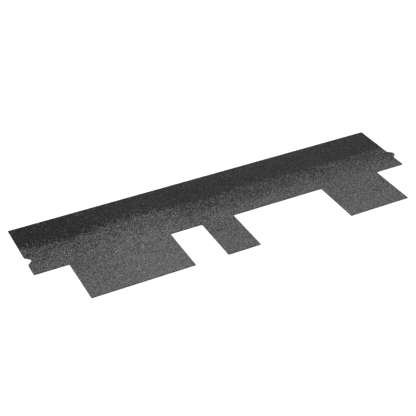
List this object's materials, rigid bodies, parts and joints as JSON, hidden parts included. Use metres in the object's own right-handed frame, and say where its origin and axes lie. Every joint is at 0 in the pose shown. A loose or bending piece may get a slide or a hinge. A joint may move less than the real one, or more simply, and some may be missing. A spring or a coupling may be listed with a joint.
{
  "type": "asphalt roof shingle",
  "caption": "Flat asphalt strip shingle faced with grey stone granules, die cut into square tabs of mixed widths along one edge, with a nib and notch at its ends, for covering a pitched roof.",
  "frame": {"origin": "on the underside, halfway along the 1000 mm laying length and halfway up the 317 mm width", "axes": "+X along the strip towards the end with the nib, +Y up the roof from the tabs' butt edges to the plain upper edge, +Z out of the granule face"},
  "size_m": [1.012, 0.317, 0.003],
  "materials": {
    "granule_faced_asphalt": "matte"
  },
  "bodies": {
    "root": {"shingle": "granule_faced_asphalt"}
  },
  "joints": []
}
